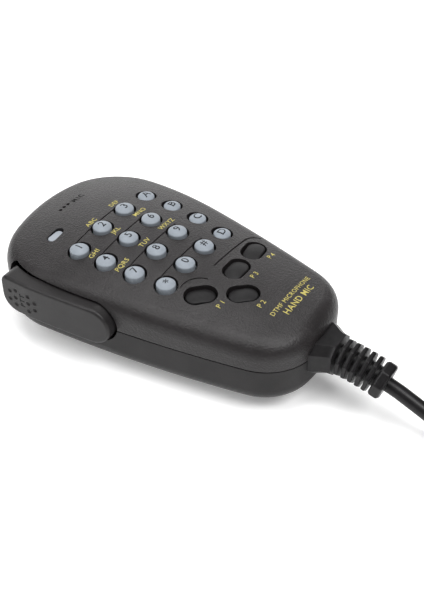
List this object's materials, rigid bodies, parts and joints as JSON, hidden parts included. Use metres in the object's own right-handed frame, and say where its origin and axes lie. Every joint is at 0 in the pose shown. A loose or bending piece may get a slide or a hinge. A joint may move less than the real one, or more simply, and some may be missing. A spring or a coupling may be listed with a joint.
{
  "type": "hand microphone with keypad",
  "caption": "Hand microphone with a tone keypad, side talk lever, hanger stud, ribbed strain relief and a coiled lead with a modular plug.",
  "frame": {"origin": "middle of the hanger stud's flat end, on the plane that the microphone lies on", "axes": "+Z out of the keypad face, +Y towards the head with the microphone holes, -Y along the cord, -X the talk lever"},
  "size_m": [0.0948, 0.1884, 0.0318],
  "materials": {
    "housing": "fine spark-eroded grain, satin",
    "rear_housing": "smooth satin",
    "lever": "smooth satin with rubbed edges",
    "key_rubber": "light grey silicone, matt",
    "button_rubber": "dark silicone, matt",
    "mat_rubber": "matt",
    "cord_rubber": "satin",
    "board": "solder mask, satin",
    "contact": "carbon print",
    "steel": "plated",
    "stud_metal": "turned and plated",
    "chip": "moulded epoxy",
    "lens": "frosted",
    "led": "moulded",
    "switch_case": "moulded",
    "white_nylon": "moulded",
    "copper": "tinned wire",
    "gold": "gold plated",
    "plug_clear": "translucent moulding",
    "capsule": "drawn can"
  },
  "bodies": {
    "housing": {"front_cover": "housing", "rear_cover": "rear_housing", "cover_screws": "steel", "hanger_stud": "stud_metal", "stud_nut": "steel", "keypad_mat": "mat_rubber", "main_board": "board", "contact_pads": "contact", "board_screws": "steel", "backlight_leds": "led", "surface_parts": "chip", "tone_chip": "chip", "crystal_can": "capsule", "indicator_lens": "lens", "indicator_led": "led", "mic_capsule": "capsule", "mic_boot": "mat_rubber", "lever_pin": "steel", "talk_switch": "switch_case", "edge_board": "board", "edge_switches": "switch_case", "slide_switches": "switch_case", "strain_relief": "cord_rubber", "cord_clamp": "switch_case", "clamp_screws": "steel", "board_connector": "white_nylon", "cord_wires": "copper", "cord_start": "cord_rubber", "cord_coil": "cord_rubber", "coil_tie": "cord_rubber", "cord_end": "cord_rubber", "plug_body": "plug_clear", "plug_contacts": "gold"},
    "key_1_body": {"key_1": "key_rubber"},
    "key_2_body": {"key_2": "key_rubber"},
    "key_3_body": {"key_3": "key_rubber"},
    "key_a_body": {"key_a": "key_rubber"},
    "key_4_body": {"key_4": "key_rubber"},
    "key_5_body": {"key_5": "key_rubber"},
    "key_6_body": {"key_6": "key_rubber"},
    "key_b_body": {"key_b": "key_rubber"},
    "key_7_body": {"key_7": "key_rubber"},
    "key_8_body": {"key_8": "key_rubber"},
    "key_9_body": {"key_9": "key_rubber"},
    "key_c_body": {"key_c": "key_rubber"},
    "key_star_body": {"key_star": "key_rubber"},
    "key_0_body": {"key_0": "key_rubber"},
    "key_hash_body": {"key_hash": "key_rubber"},
    "key_d_body": {"key_d": "key_rubber"},
    "button_p1_body": {"button_p1": "button_rubber"},
    "button_p2_body": {"button_p2": "button_rubber"},
    "button_p3_body": {"button_p3": "button_rubber"},
    "button_p4_body": {"button_p4": "button_rubber"},
    "up_button_body": {"up_button": "lever"},
    "down_button_body": {"down_button": "lever"},
    "lock_slider_body": {"lock_slider": "lever"},
    "lamp_slider_body": {"lamp_slider": "lever"},
    "talk_lever_body": {"talk_lever": "lever"},
    "plunger_body": {"switch_plunger": "white_nylon"}
  },
  "joints": [
    {"name": "key_1_press", "type": "slide", "parent": "housing", "child": "key_1_body", "axis": [0, 0, -1], "range_m": [0, 0.0009], "stiffness_N_per_m": 900, "springref_m": -0.0003},
    {"name": "key_2_press", "type": "slide", "parent": "housing", "child": "key_2_body", "axis": [0, 0, -1], "range_m": [0, 0.0009], "stiffness_N_per_m": 900, "springref_m": -0.0003},
    {"name": "key_3_press", "type": "slide", "parent": "housing", "child": "key_3_body", "axis": [0, 0, -1], "range_m": [0, 0.0009], "stiffness_N_per_m": 900, "springref_m": -0.0003},
    {"name": "key_a_press", "type": "slide", "parent": "housing", "child": "key_a_body", "axis": [0, 0, -1], "range_m": [0, 0.0009], "stiffness_N_per_m": 900, "springref_m": -0.0003},
    {"name": "key_4_press", "type": "slide", "parent": "housing", "child": "key_4_body", "axis": [0, 0, -1], "range_m": [0, 0.0009], "stiffness_N_per_m": 900, "springref_m": -0.0003},
    {"name": "key_5_press", "type": "slide", "parent": "housing", "child": "key_5_body", "axis": [0, 0, -1], "range_m": [0, 0.0009], "stiffness_N_per_m": 900, "springref_m": -0.0003},
    {"name": "key_6_press", "type": "slide", "parent": "housing", "child": "key_6_body", "axis": [0, 0, -1], "range_m": [0, 0.0009], "stiffness_N_per_m": 900, "springref_m": -0.0003},
    {"name": "key_b_press", "type": "slide", "parent": "housing", "child": "key_b_body", "axis": [0, 0, -1], "range_m": [0, 0.0009], "stiffness_N_per_m": 900, "springref_m": -0.0003},
    {"name": "key_7_press", "type": "slide", "parent": "housing", "child": "key_7_body", "axis": [0, 0, -1], "range_m": [0, 0.0009], "stiffness_N_per_m": 900, "springref_m": -0.0003},
    {"name": "key_8_press", "type": "slide", "parent": "housing", "child": "key_8_body", "axis": [0, 0, -1], "range_m": [0, 0.0009], "stiffness_N_per_m": 900, "springref_m": -0.0003},
    {"name": "key_9_press", "type": "slide", "parent": "housing", "child": "key_9_body", "axis": [0, 0, -1], "range_m": [0, 0.0009], "stiffness_N_per_m": 900, "springref_m": -0.0003},
    {"name": "key_c_press", "type": "slide", "parent": "housing", "child": "key_c_body", "axis": [0, 0, -1], "range_m": [0, 0.0009], "stiffness_N_per_m": 900, "springref_m": -0.0003},
    {"name": "key_star_press", "type": "slide", "parent": "housing", "child": "key_star_body", "axis": [0, 0, -1], "range_m": [0, 0.0009], "stiffness_N_per_m": 900, "springref_m": -0.0003},
    {"name": "key_0_press", "type": "slide", "parent": "housing", "child": "key_0_body", "axis": [0, 0, -1], "range_m": [0, 0.0009], "stiffness_N_per_m": 900, "springref_m": -0.0003},
    {"name": "key_hash_press", "type": "slide", "parent": "housing", "child": "key_hash_body", "axis": [0, 0, -1], "range_m": [0, 0.0009], "stiffness_N_per_m": 900, "springref_m": -0.0003},
    {"name": "key_d_press", "type": "slide", "parent": "housing", "child": "key_d_body", "axis": [0, 0, -1], "range_m": [0, 0.0009], "stiffness_N_per_m": 900, "springref_m": -0.0003},
    {"name": "button_p1_press", "type": "slide", "parent": "housing", "child": "button_p1_body", "axis": [0, 0, -1], "range_m": [0, 0.0009], "stiffness_N_per_m": 900, "springref_m": -0.0003},
    {"name": "button_p2_press", "type": "slide", "parent": "housing", "child": "button_p2_body", "axis": [0, 0, -1], "range_m": [0, 0.0009], "stiffness_N_per_m": 900, "springref_m": -0.0003},
    {"name": "button_p3_press", "type": "slide", "parent": "housing", "child": "button_p3_body", "axis": [0, 0, -1], "range_m": [0, 0.0009], "stiffness_N_per_m": 900, "springref_m": -0.0003},
    {"name": "button_p4_press", "type": "slide", "parent": "housing", "child": "button_p4_body", "axis": [0, 0, -1], "range_m": [0, 0.0009], "stiffness_N_per_m": 900, "springref_m": -0.0003},
    {"name": "up_button_press", "type": "slide", "parent": "housing", "child": "up_button_body", "axis": [0, -1, 0], "range_m": [0, 0.0006], "stiffness_N_per_m": 900, "springref_m": -0.0003},
    {"name": "down_button_press", "type": "slide", "parent": "housing", "child": "down_button_body", "axis": [0, -1, 0], "range_m": [0, 0.0006], "stiffness_N_per_m": 900, "springref_m": -0.0003},
    {"name": "lock_slider_move", "type": "slide", "parent": "housing", "child": "lock_slider_body", "axis": [0, 1, 0], "range_m": [0, 0.0025]},
    {"name": "lamp_slider_move", "type": "slide", "parent": "housing", "child": "lamp_slider_body", "axis": [0, 1, 0], "range_m": [0, 0.0025]},
    {"name": "talk_lever_press", "type": "hinge", "parent": "housing", "child": "talk_lever_body", "pos_m": [-0.0232, -0.0072, 0.0183], "axis": [0, 0, -1], "range_deg": [0, 3], "stiffness_Nm_per_rad": 0.6, "springref_deg": -171.89},
    {"name": "plunger_slide", "type": "slide", "parent": "housing", "child": "plunger_body", "axis": [1, 0, 0], "range_m": [0, 0.0009]}
  ],
  "couplings": [
    {"joint": "plunger_slide", "follows": "talk_lever_press", "m_per_rad": 0.0122}
  ]
}
